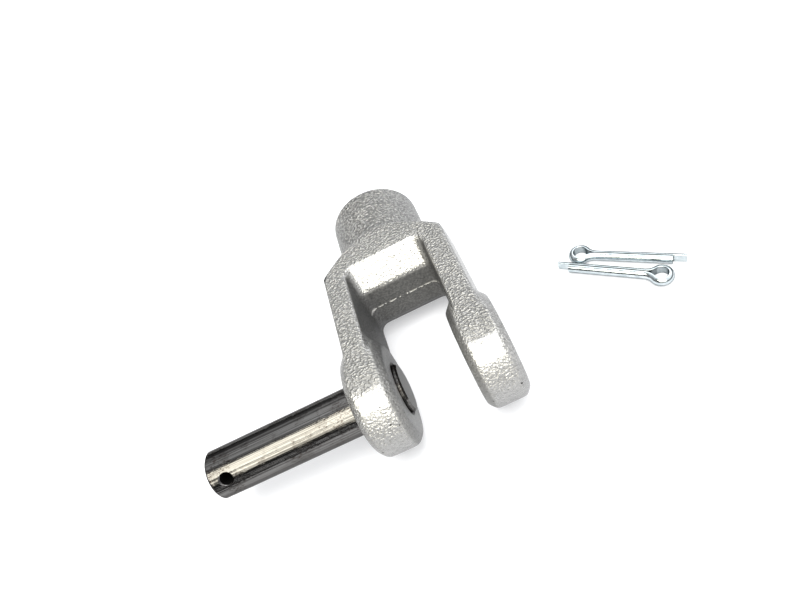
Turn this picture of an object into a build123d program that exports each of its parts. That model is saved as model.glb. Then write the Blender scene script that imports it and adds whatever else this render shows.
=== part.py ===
from build123d import *
import math
import os

# A clevis rod end, its pin and the two split pins that keep the pin in.
# Millimetres. Origin: middle of the jaw, on the axis of the pin bores.
# +X runs along the pin, +Y towards the threaded rod, +Z up.

# yoke casting
HALF_THICK = 28.0  # the arms and shoulder are this far above and below the mid-plane
CUT_PAST = 4.0  # a cutting shape runs this far past the surface it cuts
ARM_INNER = 22.4  # inner face of an arm at its top edge, from the mid-line
ARM_OUTER = 34.9  # outer face of an arm at its top edge, from the mid-line
INNER_DRAFT = 3.1  # degrees, each face leans out towards the parting plane
OUTER_DRAFT = 5.6
THROAT = 56.2  # end wall of the jaw, from the bore axis
THROAT_FLAT = 13.5  # half height of the square part of that wall
THROAT_LEAN = 35.6  # degrees the wall leans back above and below it
THROAT_CORNER = 4.5  # radius between the end wall and the arms
HUB_STEP = 1.3  # the round hub lies this far inside the flat faces
HUB_END = 122.5
HUB_ROOT = 88.1  # where the sloping shoulder leaves the hub
SHOULDER_ANGLE = 39.8  # half angle of the shoulder cone, degrees
EDGE_R = 1.8  # rounding of the long edges of the arms and round the jaw
HUB_CHAMFER = 1.2

# ears, round the pin bore
JAW_GAP = 34.5
EAR_THICK = 22.6
EAR_BEVEL = 4.0  # the flat boss face stops this far inside the rim
EAR_RIM = 15.4  # width of the rim between the two bevels

# pin
PIN_R = 12.7
PIN_LENGTH = 107.3
PIN_CHAMFER = 0.9
PIN_PROUD = 2.15  # the inner end stands this far out of the ear, in the jaw
BORE_CLEARANCE = 0.08
BORE_CHAMFER = 1.5
CROSS_R = 3.375  # cross hole for a split pin
CROSS_INSET = 9.1  # its centre from the end of the pin
CROSS_LEAN = 50.5  # degrees the holes have turned from upright
CROSS_SINK = 0.7

# threaded socket for the rod, 1-1/8 inch, 12 threads to the inch
TAP_R = 13.25  # minor radius of the thread
TAP_DEPTH = 48.0
DRILL_POINT = 118.0
TAP_CHAMFER = 1.6

# split pins, half-round wire folded flat side to flat side
WIRE_R = 2.75
WIRE_SPLIT = 0.12
EYE_R = 3.5  # inside radius of the eye
NECK_R = 6.0
SPLIT_LONG = 60.0  # over everything
SPLIT_SHORTER = 6.4  # the short leg ends this far back
SPLIT_1_X = 93.3  # end of the eye of the split pin that lies nearer the hub
SPLIT_1_Y = 51.9
SPLIT_1_HEADING = -37.6  # degrees from +X to the way its legs point
SPLIT_2_X = 130.3
SPLIT_2_Y = 8.8
SPLIT_2_HEADING = 139.9


def prism_along_y(points, start, end, corner_r=0):
    """A section given as x, z points, carried from one y to the other.

    corner_r rounds the corners that lie on the flat top and bottom.
    """
    section = make_face(Polyline([(x, start, z) for x, z in points], close=True))
    if corner_r:
        flat_corners = [v for v in section.vertices() if abs(v.Z) > HALF_THICK / 2]
        section = fillet(flat_corners, corner_r)
    return extrude(section, amount=end - start, dir=(0, 1, 0))


def drafted_section(half, draft, reach):
    """Six-sided section, widest or narrowest at the mid-plane."""
    shift = reach * math.tan(math.radians(draft))
    mid = half + HALF_THICK * math.tan(math.radians(draft))
    edge = mid - shift
    return [(mid, 0), (edge, reach), (-edge, reach), (-mid, 0), (-edge, -reach), (edge, -reach)]


def turned(points, axis):
    """Turn a profile of (distance along the axis, radius) points about "X" or "Y"."""
    if axis == "Y":
        points = [(radius, along) for along, radius in points]
    profile = make_face(Polyline(points, close=True))
    return revolve(profile, axis=Axis.Y if axis == "Y" else Axis.X)


def stem():
    """Hub and sloping shoulder as one turned piece, wide enough to hold the arms."""
    hub = HALF_THICK - HUB_STEP
    wide = ARM_OUTER + HALF_THICK
    drop = (wide - hub) / math.tan(math.radians(SHOULDER_ANGLE))
    points = [(-CUT_PAST, 0), (-CUT_PAST, wide), (HUB_ROOT - drop, wide)]
    points += [(HUB_ROOT, hub), (HUB_END - HUB_CHAMFER, hub)]
    points += [(HUB_END, hub - HUB_CHAMFER), (HUB_END, 0)]
    return turned(points, "Y")


def block():
    """Arms, shoulder and hub before the jaw is cut: a drafted slab inside the stem."""
    outer = drafted_section(ARM_OUTER, OUTER_DRAFT, HALF_THICK)
    return prism_along_y(outer, 0, HUB_END, EDGE_R) & stem()


def jaw():
    """The space between the arms: drafted sides, end wall leaning back."""
    reach = HALF_THICK + CUT_PAST
    sides = drafted_section(ARM_INNER, -INNER_DRAFT, reach)
    space = prism_along_y(sides, -2 * HALF_THICK, 2 * THROAT)
    back = (reach - THROAT_FLAT) * math.tan(math.radians(THROAT_LEAN))
    wall = [(-2 * HALF_THICK, -reach), (THROAT + back, -reach), (THROAT, -THROAT_FLAT)]
    wall += [(THROAT, THROAT_FLAT), (THROAT + back, reach), (-2 * HALF_THICK, reach)]
    outline = Polyline([(0, y, z) for y, z in wall], close=True)
    slice_x = extrude(make_face(outline), amount=2 * ARM_INNER, dir=(1, 0, 0), both=True)
    space = space & slice_x
    corners = [e for e in space.edges() if e.center().Y > THROAT - 1 and abs(e.center().X) > ARM_INNER / 2]
    upright = [e for e in corners if abs(e.tangent_at(0.5).Z) > 0.5]
    return fillet(upright, THROAT_CORNER)


def ear(side):
    """One boss: a disc with bevelled edges."""
    mid = side * (JAW_GAP + EAR_THICK) / 2
    face = EAR_THICK / 2
    rim = EAR_RIM / 2
    flat = HALF_THICK - EAR_BEVEL
    points = [(mid - face, 0), (mid - face, flat), (mid - rim, HALF_THICK)]
    points += [(mid + rim, HALF_THICK), (mid + face, flat), (mid + face, 0)]
    return turned(points, "X")


def jaw_edge(edge):
    """Edges between the jaw and the flat top or bottom, not the shoulder's own curve."""
    middle = edge.center()
    flat = abs(abs(middle.Z) - HALF_THICK) < 0.01 and edge.geom_type != GeomType.HYPERBOLA
    return flat and middle.Y > 0 and abs(middle.X) < ARM_INNER + 0.01


def rod_socket():
    """Blind tapped hole: drill point, minor diameter, chamfered mouth."""
    floor = HUB_END - TAP_DEPTH
    tip = floor - TAP_R / math.tan(math.radians(DRILL_POINT / 2))
    mouth = TAP_R + TAP_CHAMFER
    points = [(tip, 0), (floor, TAP_R), (HUB_END - TAP_CHAMFER, TAP_R), (HUB_END, mouth)]
    points += [(HUB_END + CUT_PAST, mouth), (HUB_END + CUT_PAST, 0)]
    return turned(points, "Y")


def ear_bore(side):
    """Clearance bore for the pin with both mouths chamfered."""
    radius = PIN_R + BORE_CLEARANCE
    near = side * JAW_GAP / 2
    far = side * (JAW_GAP / 2 + EAR_THICK)
    cut = side * BORE_CHAMFER
    mouth = radius + BORE_CHAMFER
    points = [(near - cut, 0), (near - cut, mouth), (near, mouth), (near + cut, radius)]
    points += [(far - cut, radius), (far, mouth), (far + cut, mouth), (far + cut, 0)]
    return turned(points, "X")


def yoke():
    body = block() - jaw()
    body = fillet([edge for edge in body.edges() if jaw_edge(edge)], EDGE_R)
    for side in (-1, 1):
        body = body + ear(side) - ear_bore(side)
    return body - rod_socket()


def cross_hole():
    """Upright hole through the pin axis, countersunk where it comes out."""
    hole = Cylinder(CROSS_R, 2 * (PIN_R + CUT_PAST))
    height = CROSS_SINK + CUT_PAST
    sink = Cone(CROSS_R, CROSS_R + height, height)
    lift = PIN_R - CROSS_SINK + height / 2
    hole = hole + Pos(0, 0, lift) * sink
    return hole + Rot(180, 0, 0) * Pos(0, 0, lift) * sink


def clevis_pin():
    inner = PIN_PROUD - JAW_GAP / 2
    outer = inner - PIN_LENGTH
    small = PIN_R - PIN_CHAMFER
    points = [(outer, 0), (outer, small), (outer + PIN_CHAMFER, PIN_R)]
    points += [(inner - PIN_CHAMFER, PIN_R), (inner, small), (inner, 0)]
    pin = turned(points, "X")
    for x in (outer + CROSS_INSET, inner - CROSS_INSET):
        pin = pin - Pos(x, 0, 0) * Rot(CROSS_LEAN, 0, 0) * cross_hole()
    return pin


def half_round(flat, bulge):
    """Half disc in the YZ plane: flat side on y = flat, round side towards bulge (+1 or -1)."""
    top = (0, flat, WIRE_R)
    low = (0, flat, -WIRE_R)
    arc = ThreePointArc(top, (0, flat + bulge * WIRE_R, 0), low)
    return make_face([arc, Line(low, top)])


def leg(side, length):
    """A straight leg along +X on one side of the split."""
    return extrude(half_round(side * WIRE_SPLIT / 2, side), amount=length, dir=(1, 0, 0))


def split_pin():
    """Lies flat with its eye end at the origin: legs along +X, long leg on +Y."""
    rise = WIRE_SPLIT / 2 + NECK_R
    span = EYE_R + NECK_R
    run = math.sqrt(span**2 - rise**2)
    eye_mid = EYE_R + WIRE_R
    swing = math.degrees(math.asin(run / span))
    long_leg = SPLIT_LONG - run - eye_mid
    wire = leg(1, long_leg) + leg(-1, long_leg - SPLIT_SHORTER)
    for side in (-1, 1):
        bend = Axis((0, side * rise, 0), (0, 0, 1))
        start = half_round(side * WIRE_SPLIT / 2, side)
        wire = wire + revolve(start, axis=bend, revolution_arc=-side * swing)
    wire = Pos(run + eye_mid, 0, 0) * wire
    mouth = math.degrees(math.atan2(rise, run))
    eye = Axis((eye_mid, 0, 0), (0, 0, 1))
    start = (Pos(eye_mid, 0, 0) * half_round(EYE_R, 1)).rotate(eye, mouth - 90)
    return wire + revolve(start, axis=eye, revolution_arc=360 - 2 * mouth)


def laid_out(x, y, heading, flip):
    """A split pin on the floor beside the yoke, turned over if flip is 180."""
    place = Pos(x, y, WIRE_R - HALF_THICK) * Rot(0, 0, heading)
    return place * Rot(flip, 0, 0) * split_pin()


os.makedirs("parts", exist_ok=True)
export_step(yoke(), "parts/yoke.step")
export_step(clevis_pin(), "parts/clevis_pin.step")
export_step(laid_out(SPLIT_1_X, SPLIT_1_Y, SPLIT_1_HEADING, 0), "parts/split_pin_1.step")
export_step(laid_out(SPLIT_2_X, SPLIT_2_Y, SPLIT_2_HEADING, 180), "parts/split_pin_2.step")
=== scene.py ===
import math

import bmesh
import bpy
import numpy as np
from mathutils import Matrix, Quaternion, Vector


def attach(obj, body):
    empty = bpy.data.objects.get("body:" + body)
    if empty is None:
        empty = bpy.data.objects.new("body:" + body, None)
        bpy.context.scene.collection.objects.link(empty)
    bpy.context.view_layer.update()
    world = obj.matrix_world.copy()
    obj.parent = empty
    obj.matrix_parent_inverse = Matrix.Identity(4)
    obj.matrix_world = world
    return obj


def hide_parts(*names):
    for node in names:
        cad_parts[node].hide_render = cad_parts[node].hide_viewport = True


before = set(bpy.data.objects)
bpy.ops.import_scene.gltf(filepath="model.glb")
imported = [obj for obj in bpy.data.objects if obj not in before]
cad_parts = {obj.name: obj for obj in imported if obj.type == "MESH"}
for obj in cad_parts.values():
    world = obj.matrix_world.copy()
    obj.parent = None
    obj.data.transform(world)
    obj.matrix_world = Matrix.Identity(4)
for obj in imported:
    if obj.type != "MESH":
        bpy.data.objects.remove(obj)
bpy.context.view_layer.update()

# Clevis rod end: rough cast and coated yoke, ground pin, two zinc-plated split pins.
# Lengths are millimetres in the frame of the solids: +X along the pin, +Y towards the hub,
# +Z up, origin in the middle of the jaw on the axis of the pin. Meshes are made in metres.
MM = 0.001
FLOOR = -28.0

# yoke
HALF_THICK = 28.0
HUB_END = 122.5
JAW_HALF = 17.25  # inner face of an ear
EAR_FACE = 39.85  # outer face of an ear
ARM_INNER = 22.4  # inner face of an arm at its top edge
INNER_DRAFT = math.radians(3.1)
WALL_Y = 56.2  # end wall of the jaw
WALL_HALF = 16.4  # half its width between the rounded corners
WALL_CORNER = 4.5  # their radius
WALL_TILT = 54.4  # degrees from level, where the wall leans back
BORE_R = 12.78
BORE_CHAMFER = 1.5
BARE_BORE = 14.3  # the skin ends at this radius round the pin
VOXEL = 0.92  # grid that the casting's skin is made on
PLUG_R = 16.0  # bores and rod socket are filled to this radius until they are cut
PLUG_START = 62.0  # bottom of the rod socket's filling

# threaded rod socket
TAP_R = 13.25
TAP_ROOT = 14.29
TAP_PITCH = 25.4 / 12
TAP_DEPTH = 48.0
TAP_CHAMFER = 1.6
DRILL_HALF = math.radians(59)  # half angle of the drill point

# pin
PIN_R = 12.7
PIN_LENGTH = 107.3
PIN_CHAMFER = 0.9
PIN_INNER = -15.1
PIN_OUTER = PIN_INNER - PIN_LENGTH
CROSS_R = 3.375
CROSS_INSET = 9.1
CROSS_LEAN = math.radians(50.5)
CROSS_SINK = 0.7

# split pins, half-round wire folded flat side to flat side
WIRE_R = 2.75
WIRE_SPLIT = 0.12
WIRE_CORNER = 0.45
EYE_R = 3.5
NECK_R = 8.5
SPLIT_LONG = 60.0
SPLIT_SHORTER = 6.4
NECK_RISE = WIRE_SPLIT / 2 + NECK_R  # centre of a neck's bend, from the split
NECK_RUN = math.sqrt((EYE_R + NECK_R) ** 2 - NECK_RISE**2)  # from the middle of the eye
EYE_MID = EYE_R + WIRE_R  # middle of the eye, from the end of the pin


# ---------------------------------------------------------------- meshes

def mesh_of(name, points, faces):
    """A closed mesh from points in millimetres; doubles merged and faces turned outwards."""
    mesh = bpy.data.meshes.new(name)
    mesh.from_pydata((np.asarray(points) * MM).tolist(), [], np.asarray(faces).tolist())
    work = bmesh.new()
    work.from_mesh(mesh)
    bmesh.ops.remove_doubles(work, verts=work.verts, dist=2e-7)
    bmesh.ops.recalc_face_normals(work, faces=work.faces)
    work.to_mesh(mesh)
    work.free()
    return mesh


def skin(name, rings):
    """Quads between rings of points: every ring closes on itself, each is joined to the next.

    A ring whose points all lie together closes an end as a pole.
    """
    rows, around = rings.shape[:2]
    here = np.arange(rows * around).reshape(rows, around)
    beside = np.roll(here, -1, axis=1)
    quads = np.stack([here[:-1], beside[:-1], beside[1:], here[1:]], axis=-1)
    return mesh_of(name, rings.reshape(-1, 3), quads.reshape(-1, 4))


def turned(name, profile, axis, around=128):
    """Surface of revolution: (along, radius) points carried round the X or the Y axis."""
    along, radius = np.array(profile, float).T
    angle = np.arange(around) * 2 * np.pi / around
    x = np.repeat(along[:, None], around, axis=1)
    y = radius[:, None] * np.cos(angle)
    z = radius[:, None] * np.sin(angle)
    if axis == "Y":
        x, y = y, x
    return skin(name, np.stack([x, y, z], axis=-1))


def stepped(profile, longest):
    """The same profile with its long straight runs divided into steps no longer than given."""
    profile = np.array(profile, float)
    runs = np.linalg.norm(np.diff(profile, axis=0), axis=1)
    parts = np.maximum(1, np.ceil(runs / longest).astype(int))
    pieces = [np.linspace(a, b, n, endpoint=False) for a, b, n in zip(profile, profile[1:], parts)]
    return np.concatenate(pieces + [profile[-1:]])


def place(name, mesh, material=None):
    """An object at the origin that holds the mesh."""
    piece = bpy.data.objects.new(name, mesh)
    bpy.context.scene.collection.objects.link(piece)
    if material:
        mesh.materials.clear()
        mesh.materials.append(material)
    return piece


def finished_mesh(piece):
    """The mesh with its modifiers applied; the object itself is removed."""
    bpy.context.view_layer.update()
    graph = bpy.context.evaluated_depsgraph_get()
    mesh = bpy.data.meshes.new_from_object(piece.evaluated_get(graph), depsgraph=graph)
    bpy.data.objects.remove(piece)
    return mesh


def cut_or_joined(mesh, tool, operation):
    """Difference with, or union with, one tool mesh."""
    piece = place("work", mesh)
    other = place("tool", tool)
    step = piece.modifiers.new("cut", "BOOLEAN")
    step.operation = operation
    step.object = other
    step.solver = "MANIFOLD"
    result = finished_mesh(piece)
    bpy.data.objects.remove(other)
    return result


def points_of(mesh):
    """Vertex positions in millimetres."""
    flat = np.empty(len(mesh.vertices) * 3)
    mesh.vertices.foreach_get("co", flat)
    return flat.reshape(-1, 3) / MM


def normals_of(mesh):
    """Outward directions at the vertices."""
    flat = np.empty(len(mesh.vertices) * 3)
    mesh.vertex_normals.foreach_get("vector", flat)
    return flat.reshape(-1, 3)


def set_points(mesh, points):
    """Moves the vertices to points given in millimetres."""
    mesh.vertices.foreach_set("co", (points * MM).ravel())
    mesh.update()


def smooth_with_creases(mesh, degrees):
    """Smooth shading, with edges sharper than the angle kept crisp."""
    mesh.shade_smooth()
    mesh.set_sharp_from_angle(angle=math.radians(degrees))


def give(mesh, name, values):
    """Stores one number for each vertex, for the finishes to read."""
    mesh.attributes.new(name, "FLOAT", "POINT").data.foreach_set("value", values)


def relaxed(points, edges, passes):
    """Every point moved half way to the average of its neighbours, again and again."""
    a, b = edges.T
    size = len(points)
    count = np.bincount(a, minlength=size) + np.bincount(b, minlength=size)
    for _ in range(passes):
        total = np.empty_like(points)
        for k in range(3):
            total[:, k] = np.bincount(a, points[b, k], size) + np.bincount(b, points[a, k], size)
        points = points + 0.5 * (total / count[:, None] - points)
    return points


# ---------------------------------------------------------------- cast relief

def clouds(points, size, seed):
    """Random numbers at the corners of cubes, blended smoothly between them; 0 to 1."""
    table = np.random.RandomState(seed).rand(32, 32, 32)
    scaled = points / size
    low = np.floor(scaled).astype(int)
    part = scaled - low
    part = part * part * (3 - 2 * part)
    total = np.zeros(len(points))
    for corner in np.ndindex(2, 2, 2):
        i, j, k = ((low + corner) % 32).T
        weight = np.prod(np.where(np.array(corner) == 1, part, 1 - part), axis=1)
        total += weight * table[i, j, k]
    return total


def grains(points, size, seed):
    """One seed point scattered in every cube: distance to the nearest, in cube widths."""
    table = np.random.RandomState(seed).rand(32, 32, 32, 3)
    scaled = points / size
    low = np.floor(scaled).astype(int)
    nearest = np.full(len(points), 9.0)
    for step in np.ndindex(3, 3, 3):
        cell = low + np.array(step) - 1
        i, j, k = (cell % 32).T
        far = np.linalg.norm(cell + table[i, j, k] - scaled, axis=1)
        nearest = np.minimum(nearest, far)
    return nearest


def ramp(value, low, high):
    """0 below low, 1 above high, smooth between."""
    t = np.clip((value - low) / (high - low), 0, 1)
    return t * t * (3 - 2 * t)


# small dark pits in the skin: x, y, z and radius
PITS = [
    (-25.3, -24.7, 13.2, 0.7),
    (-36.1, -27.8, -0.6, 0.7),
    (35.5, -27.5, 4.0, 0.7),
    (20.3, -27.2, -0.3, 0.6),
    (-21.5, -25.3, 11.9, 0.5),
    (8.4, 108.9, 25.2, 0.6),
    (-10.5, 117.3, 24.5, 0.8),
    (-33.3, 67.1, 28.0, 1.3),
    (-33.8, 65.6, 28.0, 1.1),
]


def pitted(points):
    """1 in the middle of a pit, falling away round it like a bell."""
    depth = np.zeros(len(points))
    for x, y, z, size in PITS:
        away = np.linalg.norm(points - (x, y, z), axis=1)
        depth = np.maximum(depth, np.exp(-((away / size) ** 2)))
    return depth


# painted shade: the finish darkens the coat with this mask; it also makes the coat rougher and
# less metallic there, and the grain fainter
def inside_jaw(points, normals):
    """1 on the inner faces of the arms and on the upright part of the end wall.

    It is a little less on the inner bevels of the ears, and fades towards the nose.
    """
    x, y, z = np.abs(points.T)
    wall = ARM_INNER + (HALF_THICK - z) * math.tan(INNER_DRAFT)
    across = 1 - ramp(x - wall, 0.2, 0.9)
    along = ramp(points[:, 1], 18, 24) * (1 - ramp(points[:, 1] - 0.45 * z, 58, 61))
    leaning = (1 - ramp(x, 18.0, 20.0)) * ramp(points[:, 2], 12.0, 14.5)
    upright = 1 - ramp(normals[:, 2], 0.3, 0.6)
    bevel = ramp(x, 17.0, 17.6) * (1 - ramp(x, 20.3, 21.6)) * (1 - ramp(points[:, 1], 22, 26))
    bevel = bevel * (0.6 + 0.35 * ramp(points[:, 1], -12, 10))
    return np.maximum(across * along * (1 - leaning) * upright, bevel)


def on_flash(points):
    """1 where the broken fin stands out of the end wall."""
    x = np.abs(points[:, 0])
    round_corner = np.hypot(x - WALL_HALF, points[:, 1] - (WALL_Y - WALL_CORNER))
    proud = np.where(x < WALL_HALF, WALL_Y - points[:, 1], WALL_CORNER - round_corner)
    near = (np.abs(points[:, 2]) < 1.2) & (x < 21) & (points[:, 1] > 51.5)
    return np.where(near, ramp(proud, 0.0, 0.08), 0.0)


def skin_strength(points, normals):
    """How strong the pebbled grain is, 0 to 1, by the tilt of the skin towards the nose.

    It is full on the flats and on the hub, and faint where the mould was smooth: on the
    upper rims of the ears, further down on the right one, and on the leaning wall of the
    jaw. Sides, the end face of the hub and the inside of the jaw lie between the two.
    """
    tilt = np.degrees(np.arctan2(-normals[:, 1], np.abs(normals[:, 2])))
    side = ramp(np.abs(normals[:, 0]), 0.25, 0.5)
    longer = 5.5 * ramp(points[:, 0], 0, 5) * ramp(tilt, 30, 38)
    rim = np.interp(tilt - longer, [20, 23.5, 41, 46, 60, 75], [1.0, 0.18, 0.18, 0.6, 0.5, 0.4])
    front = np.where(points[:, 1] < 70, rim * (1 - side) + 0.7 * side, 1.0)
    back = np.interp(np.abs(normals[:, 2]), [0.86, 0.97], [0.5, 1.0])
    hub = ramp(points[:, 1], 84, 90)
    strength = np.minimum(front, back) * (1 - hub) + hub
    strength = np.where(tilt < 18, back * (1 - hub) + hub, strength)
    leaning = (np.abs(tilt - WALL_TILT) < 9) & (points[:, 1] > 50) & (points[:, 1] < 72)
    strength = np.where(leaning, 0.14, strength)
    strength = np.where(points[:, 1] > HUB_END - 1.3, 0.35, strength)
    return strength * (1 - 0.5 * inside_jaw(points, normals))


def cast_height(points, normals):
    """How far the skin lies off the smooth form: down to about -0.25 mm, -0.7 mm in a pit.

    Broad waviness, plus each grain's distance from its middle, plus the bells of the pits.
    """
    swell = clouds(points, 9.0, 3) * 0.5 + clouds(points, 4.2, 5) * 0.5
    strength = skin_strength(points, normals)
    depth = 0.03 + 0.12 * (1 - swell) + 0.1 * strength * grains(points, 2.6, 11)
    return -depth - 0.45 * pitted(points)


def parting_flash():
    """Broken fin left along the parting line, on the jaw's end wall and round its corners.

    A triangle carried along the line; its height follows noise and sinks below the wall
    where the fin has broken away.
    """
    turn = np.linspace(math.radians(62), 0, 16)[:-1]
    straight = np.linspace(-WALL_HALF, WALL_HALF, 130)
    lean = np.concatenate([-turn, straight * 0, turn[::-1]])
    middle = np.concatenate([turn * 0 - WALL_HALF, straight, turn * 0 + WALL_HALF])
    x = middle + WALL_CORNER * np.sin(lean)
    y = WALL_Y - WALL_CORNER + WALL_CORNER * np.cos(lean)
    line = np.stack([x, y, x * 0], axis=-1)
    broken = clouds(line + 40, 0.9, 21) * 0.7 + clouds(line + 70, 4.5, 22) * 0.4
    height = np.clip((broken - 0.41) * 2.5, -0.35, 0.5)
    height[:3] = height[-3:] = -0.6
    wander = (clouds(line + 10, 3.0, 23) - 0.5) * 0.5
    root = np.full(len(x), -1.1)
    rows = []
    for out, rise in ((height, 0.0), (root, 0.4), (root, -0.4)):
        row = [x - out * np.sin(lean), y - out * np.cos(lean), wander + rise]
        rows.append(np.stack(row, axis=-1))
    body = np.stack(rows, axis=1)
    ends = [np.repeat(body[k].mean(axis=0)[None, None, :], 3, axis=1) for k in (0, -1)]
    return skin("flash", np.concatenate([ends[0], body, ends[1]]))


def plug(start, end, axis):
    """A plain cylinder that fills a bore while the skin is made."""
    profile = [(start, 0), (start, PLUG_R), (end, PLUG_R), (end, 0)]
    return turned("plug", profile, axis, 48)


def yoke_mesh():
    """The casting: solid form remeshed, edges softened, skin roughened, then machined."""
    work = bmesh.new()
    work.from_mesh(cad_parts["yoke"].data)
    bmesh.ops.remove_doubles(work, verts=work.verts, dist=1e-6)
    for side in (-1, 1):
        work.from_mesh(plug(side * JAW_HALF, side * EAR_FACE, "X"))
    work.from_mesh(plug(PLUG_START, HUB_END, "Y"))
    mesh = bpy.data.meshes.new("yoke_blank")
    work.to_mesh(mesh)
    work.free()
    blank = place("yoke_blank", mesh)
    step = blank.modifiers.new("grid", "REMESH")
    step.mode = "VOXEL"
    step.voxel_size = VOXEL * MM
    mesh = finished_mesh(blank)

    edges = np.empty(len(mesh.edges) * 2, int)
    mesh.edges.foreach_get("vertices", edges)
    points = relaxed(points_of(mesh), edges.reshape(-1, 2), 8)
    set_points(mesh, points)
    normals = normals_of(mesh)
    points = points + normals * cast_height(points, normals)[:, None]
    points[:, 2] = np.maximum(points[:, 2], FLOOR)
    set_points(mesh, points)

    mesh = cut_or_joined(mesh, parting_flash(), "UNION")
    for side in (-1, 1):
        mesh = cut_or_joined(mesh, bore_tool(side), "DIFFERENCE")
    mesh = cut_or_joined(mesh, thread_tool(), "DIFFERENCE")
    smooth_with_creases(mesh, 42)
    return mesh


def bore_tool(side):
    """Cutter for one ear: the bore with a chamfer at both mouths."""
    near = side * JAW_HALF
    far = side * EAR_FACE
    cut = side * BORE_CHAMFER
    wide = BORE_R + BORE_CHAMFER
    profile = [(near - cut, 0), (near - cut, wide + BORE_CHAMFER), (near + cut, BORE_R)]
    profile += [(far - cut, BORE_R), (far + cut, wide + BORE_CHAMFER), (far + cut, 0)]
    return turned("bore_tool", profile, "X", 120)


def thread_tool():
    """Cutter for the rod socket: radius follows a 60 degree thread that climbs as it turns."""
    around = 96
    start = HUB_END - TAP_DEPTH
    end = HUB_END + 1.5
    rows = int(round((TAP_DEPTH + TAP_PITCH) / TAP_PITCH * 10))
    angle = np.arange(around) * 2 * np.pi / around
    along = np.linspace(start, end, rows)[:, None]
    phase = (along / TAP_PITCH - angle / (2 * np.pi)) % 1.0
    tooth = np.clip(1.45 - np.abs(phase - 0.5) * 3.2, 0, 1)
    radius = TAP_R + (TAP_ROOT - TAP_R) * tooth
    radius = np.maximum(radius, TAP_R + TAP_CHAMFER - (HUB_END - along))
    y = np.repeat(along, around, axis=1)
    body = np.stack([radius * np.cos(angle), y, radius * np.sin(angle)], axis=-1)
    tip = np.zeros((1, around, 3))
    tip[:, :, 1] = start - TAP_R / math.tan(DRILL_HALF)
    lid = np.zeros((1, around, 3))
    lid[:, :, 1] = end
    return skin("thread_tool", np.concatenate([tip, body, lid]))


# ---------------------------------------------------------------- pin and split pins

def cross_hole_tool(x):
    """Cutter through the pin: a round hole, countersunk where it meets the surface."""
    reach = PIN_R + 3
    lip = PIN_R - CROSS_SINK
    wide = CROSS_R + reach - lip
    profile = [(-reach, 0), (-reach, wide), (-lip, CROSS_R), (lip, CROSS_R), (reach, wide)]
    profile += [(reach, 0)]
    mesh = turned("cross_hole_tool", profile, "X", 64)
    turn = Matrix.Rotation(math.pi / 2, 4, "Y")
    lean = Matrix.Rotation(CROSS_LEAN, 4, "X")
    mesh.transform(Matrix.Translation((x * MM, 0, 0)) @ lean @ turn)
    return mesh


def pin_mesh():
    """The pin turned from its profile, with both cross holes drilled."""
    small = PIN_R - PIN_CHAMFER
    profile = [(PIN_OUTER, 0), (PIN_OUTER, small), (PIN_OUTER + PIN_CHAMFER, PIN_R)]
    profile += [(PIN_INNER - PIN_CHAMFER, PIN_R), (PIN_INNER, small), (PIN_INNER, 0)]
    mesh = turned("pin", stepped(profile, 2.0), "X", 160)
    for x in (PIN_OUTER + CROSS_INSET, PIN_INNER - CROSS_INSET):
        mesh = cut_or_joined(mesh, cross_hole_tool(x), "DIFFERENCE")
    smooth_with_creases(mesh, 30)
    return mesh


def split_pin_path():
    """Middle of the wire's flat side, and the way its round side faces: x, y, out x, out y.

    The long leg, its neck, round the eye, the other neck and the short leg, in one line. The
    outside of the eye is at the origin, the legs run along +X.
    """
    neck_x = NECK_RUN + EYE_MID

    def leg(side, end):
        """Straight, from its end back to the neck."""
        along = np.linspace(end, neck_x, 40)[:-1]
        zero = np.zeros_like(along)
        return np.stack([along, zero + side * WIRE_SPLIT / 2, zero, zero + side], axis=-1)

    def neck(side):
        """A bend away from the split, up to the eye."""
        turn = np.linspace(0, math.asin(NECK_RUN / (EYE_R + NECK_R)), 14)[:-1]
        x = neck_x - NECK_R * np.sin(turn)
        y = side * (NECK_RISE - NECK_R * np.cos(turn))
        return np.stack([x, y, np.sin(turn), side * np.cos(turn)], axis=-1)

    mouth = math.atan2(NECK_RISE, NECK_RUN)
    turn = np.linspace(mouth, 2 * math.pi - mouth, 60)
    across = np.cos(turn)
    rise = np.sin(turn)
    eye = np.stack([EYE_MID + EYE_R * across, EYE_R * rise, across, rise], axis=-1)
    first = np.concatenate([leg(1, SPLIT_LONG), neck(1)])
    last = np.concatenate([leg(-1, SPLIT_LONG - SPLIT_SHORTER), neck(-1)])[::-1]
    return np.concatenate([first, eye, last])


def split_pin_section():
    """Half-round wire with rounded corners: how far it bulges from the flat, and its height."""
    corner = math.sqrt((WIRE_R - WIRE_CORNER) ** 2 - WIRE_CORNER**2)
    meet = math.atan2(corner, WIRE_CORNER)
    bend = np.linspace(-meet, meet, 17)
    lap = np.linspace(meet, math.pi, 7)[1:]
    bulge = [WIRE_R * np.cos(bend), WIRE_CORNER * (1 + np.cos(lap)), np.zeros(5)]
    bulge += [WIRE_CORNER * (1 + np.cos(lap[::-1]))]
    height = [WIRE_R * np.sin(bend), corner + WIRE_CORNER * np.sin(lap)]
    height += [np.linspace(corner, -corner, 7)[1:-1], -corner - WIRE_CORNER * np.sin(lap[::-1])]
    return np.concatenate(bulge), np.concatenate(height)


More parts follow.
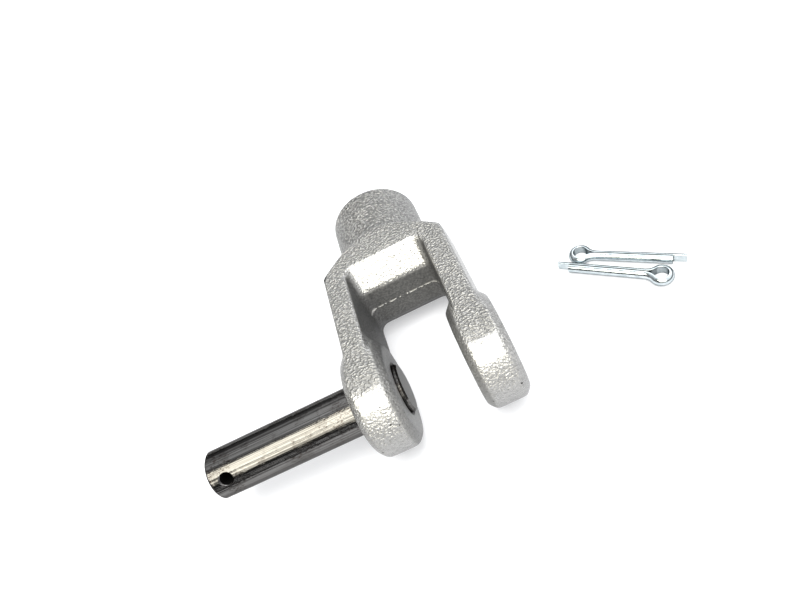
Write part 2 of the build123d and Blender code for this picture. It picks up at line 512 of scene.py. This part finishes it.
def split_pin_mesh(x, y, heading, flipped):
    """The wire's section carried along its path, then turned and laid on the floor."""
    path = split_pin_path()
    bulge, height = split_pin_section()
    px = path[:, :1] + path[:, 2:3] * bulge
    py = path[:, 1:2] + path[:, 3:] * bulge
    pz = np.repeat(height[None, :], len(path), axis=0)
    body = np.stack([px, py, pz], axis=-1)
    ends = [np.repeat(body[k].mean(axis=0)[None, None, :], len(height), axis=1) for k in (0, -1)]
    rings = np.concatenate([ends[0], body, ends[1]])
    if flipped:
        rings[..., 1:] *= -1
    angle = math.radians(heading)
    east = rings[..., 0] * math.cos(angle) - rings[..., 1] * math.sin(angle)
    north = rings[..., 0] * math.sin(angle) + rings[..., 1] * math.cos(angle)
    laid = np.stack([x + east, y + north, FLOOR + WIRE_R + rings[..., 2]], axis=-1)
    mesh = skin("split_pin", laid)
    smooth_with_creases(mesh, 50)
    return mesh


# painted shade: this mask darkens the wire's flat side where the two legs meet
def seam_shade(points, x, y, heading):
    """1 on the flat side of a split pin's wire, 0 from half a millimetre out.

    It is less in the neck and least in the eye, where the flat side lies open, and 0 where
    the long leg stands out past the short one.
    """
    angle = math.radians(heading)
    east, north = (points[:, :2] - (x, y)).T
    along = east * math.cos(angle) + north * math.sin(angle)
    across = np.abs(north * math.cos(angle) - east * math.sin(angle))
    neck_x = NECK_RUN + EYE_MID
    leg = across - WIRE_SPLIT / 2
    neck = NECK_R - np.hypot(along - neck_x, across - NECK_RISE)
    ring = np.hypot(along - EYE_MID, across) - EYE_R
    in_eye = along < EYE_MID + EYE_R * NECK_RUN / (EYE_R + NECK_R)
    out = np.where(along > neck_x, leg, np.where(in_eye, ring, neck))
    dark = np.where(in_eye, 0.35, np.where(along < neck_x, 0.7, 1.0))
    return dark * (1 - ramp(out, 0.1, 0.5)) * (along < SPLIT_LONG - SPLIT_SHORTER)


# ---------------------------------------------------------------- finishes

class Value:
    """A shader socket that can be added, multiplied and so on; each step is a Math node."""

    def __init__(self, finish, socket):
        self.finish = finish
        self.socket = socket

    def _math(self, operation, *values):
        return self.finish.node("ShaderNodeMath", {"operation": operation}, *values)

    def __add__(self, other):
        return self._math("ADD", self, other)

    def __sub__(self, other):
        return self._math("SUBTRACT", self, other)

    def __mul__(self, other):
        return self._math("MULTIPLY", self, other)

    def __pow__(self, other):
        return self._math("POWER", self, other)

    def __radd__(self, other):
        return self._math("ADD", other, self)

    def __rsub__(self, other):
        return self._math("SUBTRACT", other, self)

    def above(self, low, high):
        """0 below low, 1 above high, smooth between."""
        return self.finish.node("ShaderNodeMapRange", {"interpolation_type": "SMOOTHSTEP"},
                                Value=self, **{"From Min": low, "From Max": high})


class Finish:
    """The nodes of a material, or of the world, built step by step."""

    def __init__(self, owner):
        self.owner = owner
        owner.use_nodes = True
        self.tree = owner.node_tree
        self.tree.nodes.clear()

    def node(self, kind, settings=None, *values, out=0, **named):
        """One node: settings first, then socket values or links; gives an output socket.

        Values go to the sockets in use, in their order, and named ones to sockets by name.
        """
        made = self.tree.nodes.new(kind)
        for key, value in (settings or {}).items():
            setattr(made, key, value)
        in_use = [socket for socket in made.inputs if socket.enabled]
        given = list(zip(in_use, values))
        given += [(made.inputs[name], value) for name, value in named.items()]
        for socket, value in given:
            if isinstance(value, Value):
                self.tree.links.new(value.socket, socket)
            else:
                socket.default_value = value
        if isinstance(out, str):
            return Value(self, made.outputs[out])
        results = [socket for socket in made.outputs if socket.enabled]
        return Value(self, results[out]) if results else None

    def parts(self, at):
        """The x, y and z of a place or direction."""
        return [self.node("ShaderNodeSeparateXYZ", None, at, out=k) for k in range(3)]

    def place(self, scale=(1, 1, 1), turn=(0, 0, 0)):
        """Object coordinates in millimetres, stretched and turned."""
        at = self.node("ShaderNodeTexCoord", out="Object")
        sizes = tuple(1000 * s for s in scale)
        return self.node("ShaderNodeMapping", None, at, Scale=sizes, Rotation=turn)

    def measured(self, name):
        """A number stored on the points of the mesh."""
        return self.node("ShaderNodeAttribute", {"attribute_name": name}, out="Fac")

    def noise(self, at, size, detail=2.0, rough=0.5):
        """Cloudy noise with features about size millimetres across."""
        return self.node("ShaderNodeTexNoise", None, Vector=at, Scale=1 / size, Detail=detail,
                         Roughness=rough, out="Fac")

    def pebbles(self, at, size):
        """Distance to the middle of the nearest rounded cell, in cells of size millimetres."""
        return self.node("ShaderNodeTexVoronoi", {"feature": "SMOOTH_F1"}, Vector=at,
                         Scale=1 / size, out="Distance")

    def mix(self, factor, a, b):
        """Colour a where factor is 0, colour b where it is 1."""
        return self.node("ShaderNodeMix", {"data_type": "RGBA"}, factor, a, b)

    def bump(self, height, distance=1.0, strength=1.0):
        """Relief that is distance millimetres high for a height of 1."""
        return self.node("ShaderNodeBump", None, Strength=strength, Distance=distance * MM,
                         Height=height)

    def surface(self, **sockets):
        """The closing shader with its links and values."""
        named = {key.replace("_", " "): value for key, value in sockets.items()}
        shader = self.node("ShaderNodeBsdfPrincipled", None, **named)
        self.node("ShaderNodeOutputMaterial", None, Surface=shader)
        return self.owner


def grey(value, warm=0.0):
    """A grey colour; warm makes it redder and less blue by that share."""
    return (value * (1 + warm), value, value * (1 - warm), 1)


def coated_casting(points):
    """Silvery pebbled coating over cast iron, with painted shade in the creases, on the nose and
    in the jaw; bare metal in the bores, painted very dark as shade.

    Each dark pit is centred on the one of the skin's points that lies nearest to its place.
    """
    f = Finish(bpy.data.materials.new("coated_casting"))
    at = f.place()
    x, y, z = f.parts(at)
    round_pin = (y * y + z * z) ** 0.5
    round_rod = (x * x + z * z) ** 0.5
    bare = 1 - round_pin.above(BARE_BORE - 0.15, BARE_BORE + 0.15)
    bare_rod = (1 - round_rod.above(14.75, 15.0)) * y.above(PLUG_START, PLUG_START + 2)
    bare = f.node("ShaderNodeMath", {"operation": "MAXIMUM"}, bare, bare_rod)

    # rounded grains, wandering ridges and fine grit; the hub has broader lumps as well
    long_way = f.place((0.75, 1.0, 0.95), (0, 0, 0.2))
    pebble = f.pebbles(long_way, 1.0)
    top = 1 - pebble.above(0.12, 0.62)
    ridge = f.noise(long_way, 0.78, 1.5, 0.5)
    fine = f.noise(at, 0.42, 2.0, 0.6)
    lump = f.noise(f.place((0.6, 1.0, 1.0), (0, 0, 0.3)), 1.5, 1.0, 0.5)
    lump = (lump - 0.5) * y.above(82.0, 92.0) * (1 - bare) * 1.1
    strength = f.measured("grain")
    grain = strength * (1 - bare)
    height = lump + ((top - 0.55) * 0.6 + (ridge - 0.5) * 0.5 + (fine - 0.5) * 0.42) * grain

    # silvery, with painted shade in the creases, specks where it is smooth, painted shade on the
    # nose, and painted shade in the jaw, where the coat is also duller
    broad = f.noise(at, 14.0, 2.0)
    colour = f.mix(broad.above(0.35, 0.65), grey(0.385), grey(0.425, 0.005))
    # painted shade: the creases between the grains are darker, more so on the hub
    crease_shade = (1 - top) * grain * (y.above(80.0, 92.0) * 0.18 + 0.6)
    colour = f.mix(crease_shade, colour, grey(0.12))
    speck = f.noise(at, 1.1, 1.0).above(0.62, 0.66)
    colour = f.mix(speck * (1 - strength) * 0.9, colour, grey(0.1))
    # painted shade: the nose, the front of the ears, is darker
    colour = f.mix((1 - y.above(-26.0, -18.0)) * 0.4, colour, grey(0.24))
    # painted shade inside the jaw; the coat there is also rougher and less metallic
    jaw = f.measured("jaw")
    shaded = f.mix(pebble.above(0.15, 0.6), grey(0.075), grey(0.03))
    colour = f.mix(jaw * 0.85, colour, shaded)
    colour = f.mix(f.measured("flash"), colour, grey(0.7, 0.01))
    for *middle, size in PITS:
        middle = points[np.argmin(np.linalg.norm(points - middle, axis=1))]
        away = f.node("ShaderNodeVectorMath", {"operation": "DISTANCE"}, at, middle, out="Value")
        colour = f.mix(1 - away.above(size * 0.5, size * 1.1), colour, grey(0.015))
    # bare metal in the bores and the rod socket, painted very dark as shade inside them
    colour = f.mix(bare, colour, grey(0.06, 0.02))
    rough = 0.17 + grain * 0.08 + fine * 0.08 + jaw * 0.3
    metallic = 0.7 - jaw * 0.25
    return f.surface(Base_Color=colour, Metallic=metallic, Roughness=rough,
                     Normal=f.bump(height), Specular_Tint=grey(0.62))


def ground_steel():
    """Ground and polished pin steel with fine marks along its length."""
    f = Finish(bpy.data.materials.new("ground_steel"))
    at = f.place()
    x, y, z = f.parts(at)
    radius = (y * y + z * z) ** 0.5
    end_face = x.above(PIN_INNER - 1.1, PIN_INNER - 0.9)
    end_face = end_face + (1 - x.above(PIN_OUTER + 0.9, PIN_OUTER + 1.1))
    inside = (1 - radius.above(11.7, 12.3)) * x.above(PIN_OUTER + 1.0, PIN_OUTER + 1.4)
    inside = inside * (1 - x.above(PIN_INNER - 1.4, PIN_INNER - 1.0))

    # marks along the pin, long, short and broken; rubbed patches, most towards both ends
    line = f.noise(f.place((0.004, 1.0, 1.0)), 1.5, 1.5, 0.5)
    streak = f.noise(f.place((0.006, 1.0, 1.0)), 0.6, 1.0, 0.5)
    scratch = f.noise(f.place((0.03, 1.0, 1.0)), 0.35, 2.0, 0.6)
    fleck = f.noise(f.place((0.5, 1.0, 1.0)), 0.8, 3.0, 0.6)
    patch = f.noise(at, 8.0, 2.0)
    ends = x.above(-70.0, -40.0) + (1 - x.above(-115.0, -95.0))
    worn = (patch + ends * 0.16).above(0.5, 0.66)

    tone = f.mix(scratch.above(0.35, 0.65), grey(0.12, 0.035), grey(0.15, 0.015))
    tone = f.mix(streak.above(0.56, 0.62) * 0.6, tone, grey(0.032, 0.06))
    tone = f.mix(patch.above(0.5, 0.62) * 0.3, tone, grey(0.05, 0.06))
    tone = f.mix(fleck.above(0.52, 0.66) * worn, tone, (0.045, 0.036, 0.032, 1))
    # painted shade: almost black inside the cross holes, which are also rough
    tone = f.mix(inside, tone, grey(0.01))
    stained = f.mix(patch.above(0.3, 0.75), grey(0.085, 0.04), (0.035, 0.032, 0.026, 1))
    tone = f.mix(end_face * (1 - radius.above(11.5, 11.9)), tone, stained)
    height = (line * 0.22 + scratch * 0.012 + fleck * worn * 0.07) * (1 - end_face)
    rough = 0.1 + scratch * 0.07 + inside * 0.8
    return f.surface(Base_Color=tone, Metallic=1.0, Roughness=rough,
                     Normal=f.bump(height), Specular_Tint=grey(0.4))


def bright_zinc():
    """Bright bluish zinc plating on drawn wire."""
    f = Finish(bpy.data.materials.new("bright_zinc"))
    drawn = f.noise(f.place((0.4, 0.4, 1.6)), 1.2, 2.0)
    mottle = f.noise(f.place(), 3.0, 3.0)
    tone = f.mix(mottle.above(0.35, 0.7), (0.40, 0.45, 0.47, 1), (0.56, 0.605, 0.625, 1))
    # painted shade along the split between the legs
    tone = f.mix(f.measured("seam"), tone, (0.03, 0.04, 0.045, 1))
    rough = 0.12 + mottle * 0.1
    return f.surface(Base_Color=tone, Metallic=1.0, Roughness=rough,
                     Normal=f.bump(drawn, 0.06, 0.6), Specular_Tint=grey(0.12))


# ---------------------------------------------------------------- assembling

cast_skin = yoke_mesh()
skin_points = points_of(cast_skin)
skin_normals = normals_of(cast_skin)
yoke = place("yoke_casting", cast_skin, coated_casting(skin_points))
give(yoke.data, "grain", skin_strength(skin_points, skin_normals))
give(yoke.data, "jaw", inside_jaw(skin_points, skin_normals))
give(yoke.data, "flash", on_flash(skin_points))
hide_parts("yoke")
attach(yoke, "casting")

pin = place("ground_pin", pin_mesh(), ground_steel())
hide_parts("clevis_pin")
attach(pin, "pin")

pieces = [yoke, pin]
zinc = bright_zinc()
for name, x, y, heading, flipped in (
    ("split_pin_1", 93.3, 51.9, -37.6, False),
    ("split_pin_2", 130.3, 8.8, 139.9, True),
):
    wire = split_pin_mesh(x, y, heading, flipped)
    give(wire, "seam", seam_shade(points_of(wire), x, y, heading))
    piece = place("wire_" + name, wire, zinc)
    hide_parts(name)
    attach(piece, "casting")
    pieces.append(piece)


# ---------------------------------------------------------------- floor, light, camera

def floor():
    """White paper on a light table: it glows a little, so shadows on it stay pale.

    A flat grid of 9 by 9 points, 3 by 3.8 metres, level with the lowest point of the yoke.
    """
    f = Finish(bpy.data.materials.new("floor_paper"))
    soft = f.noise(f.place(), 60.0, 2.0)
    tone = f.mix(soft, (0.58, 0.58, 0.58, 1), (0.60, 0.60, 0.60, 1))
    glow = (0.98, 0.985, 1.0, 1)
    material = f.surface(Base_Color=tone, Roughness=0.9, Emission_Color=glow,
                         Emission_Strength=0.43)
    side = np.linspace(-1, 1, 9)
    x, y = np.meshgrid(side * 1500, side * 1900)
    points = np.stack([x, y + 300, np.full_like(x, FLOOR)], axis=-1).reshape(-1, 3)
    here = np.arange(81).reshape(9, 9)
    quads = np.stack([here[:-1, :-1], here[:-1, 1:], here[1:, 1:], here[1:, :-1]], axis=-1)
    mesh = bpy.data.meshes.new("floor")
    mesh.from_pydata((points * MM).tolist(), [], quads.reshape(-1, 4).tolist())
    paper = place("floor", mesh, material)
    return paper


def card(name, start, end, height):
    """A dark card on edge, out of sight, that only shows as a dark line in shiny metal.

    One upright rectangle from start to end, given as x, y on the floor.
    """
    f = Finish(bpy.data.materials.new("dark_card"))
    material = f.surface(Base_Color=grey(0.02), Roughness=1.0, Specular_IOR_Level=0.0,
                         Emission_Color=grey(1.0), Emission_Strength=0.15)
    low = np.array([(*start, FLOOR), (*end, FLOOR)])
    points = np.concatenate([low, low[::-1] + (0, 0, height)])
    mesh = bpy.data.meshes.new(name)
    mesh.from_pydata((points * MM).tolist(), [], [(0, 1, 2, 3)])
    piece = place(name, mesh, material)
    piece.visible_camera = False
    piece.visible_diffuse = False
    piece.visible_shadow = False


def lamp(name, centre, towards, width, height, power, lit, colour=(1, 1, 1), roll=0):
    """A soft box: an area light that faces a point and lights only the given pieces."""
    light = bpy.data.lights.new(name, "AREA")
    light.shape = "RECTANGLE"
    light.size = width * MM
    light.size_y = height * MM
    light.energy = power
    light.color = colour
    piece = bpy.data.objects.new(name, light)
    bpy.context.scene.collection.objects.link(piece)
    at = Vector(centre) * MM
    piece.location = at
    aim = (Vector(towards) * MM - at).to_track_quat("-Z", "Y")
    aim = aim @ Quaternion((0, 0, 1), math.radians(roll))
    piece.rotation_euler = aim.to_euler()
    receivers = bpy.data.collections.new(name + "_lights")
    for each in lit:
        receivers.objects.link(each)
    piece.light_linking.receiver_collection = receivers


def room():
    """A pale wall and ceiling behind, towards +Y, and dim elsewhere; plain white to look at."""
    f = Finish(bpy.data.worlds.new("room"))
    facing = f.node("ShaderNodeTexCoord", out="Generated")
    x, y, z = f.parts(facing)
    behind = y.above(-0.2, 0.35)
    upward = f.node("ShaderNodeMapRange", None, z, **{"From Min": 0.4, "From Max": 1.0})
    side = x.above(-0.35, 0.1) * (0.4 + z.above(0.2, 0.7) * 1.5)
    bright = 0.05 + behind * (0.08 + upward * 1.75) + side
    seen = f.node("ShaderNodeLightPath", out="Is Camera Ray")
    bright = bright * (1 - seen) + seen
    sky = f.node("ShaderNodeBackground", None, Strength=bright, Color=(0.97, 0.985, 1.0, 1))
    f.node("ShaderNodeOutputWorld", None, Surface=sky)
    return f.owner


paper = floor()
card("front_card", (-700, 137), (500, -307), 28)
card("left_card", (-300, -150), (-300, 350), 60)
card("right_card", (260, -150), (260, 350), 60)
cream = (1, 0.965, 0.84)
lamp("overhead", (-165, -400, 693), (-53, 0, 0), 830, 540, 10.4, pieces, cream, 15)
lamp("front", (-120, -700, 425), (-20, 0, 0), 760, 380, 3.8, pieces, cream)
lamp("paper_lamp", (-120, -150, 1300), (0, 60, 0), 1000, 1000, 22, [paper])

bpy.context.scene.world = room()
bpy.context.scene.view_settings.view_transform = "Standard"

# the camera looks down on the jaw from in front, and is rolled about its own line of sight
eye = Vector((28.300, -160.480, 234.976)) * MM
target = Vector((-6.711, 79.403, -28.0)) * MM
roll = math.radians(-31.995)
look = (target - eye).normalized()
level = look.cross(Vector((0, 0, 1))).normalized()
above = level.cross(look)
right = level * math.cos(roll) + above * math.sin(roll)
up = above * math.cos(roll) - level * math.sin(roll)
turn = Matrix((right, up, -look)).transposed().to_4x4()
lens = bpy.data.cameras.new("camera")
lens.lens = 26.01
lens.sensor_width = 36.0
lens.clip_start = 0.01
camera = bpy.data.objects.new("camera", lens)
bpy.context.scene.collection.objects.link(camera)
camera.matrix_world = Matrix.Translation(eye) @ turn
bpy.context.scene.camera = camera

bpy.context.view_layer.update()
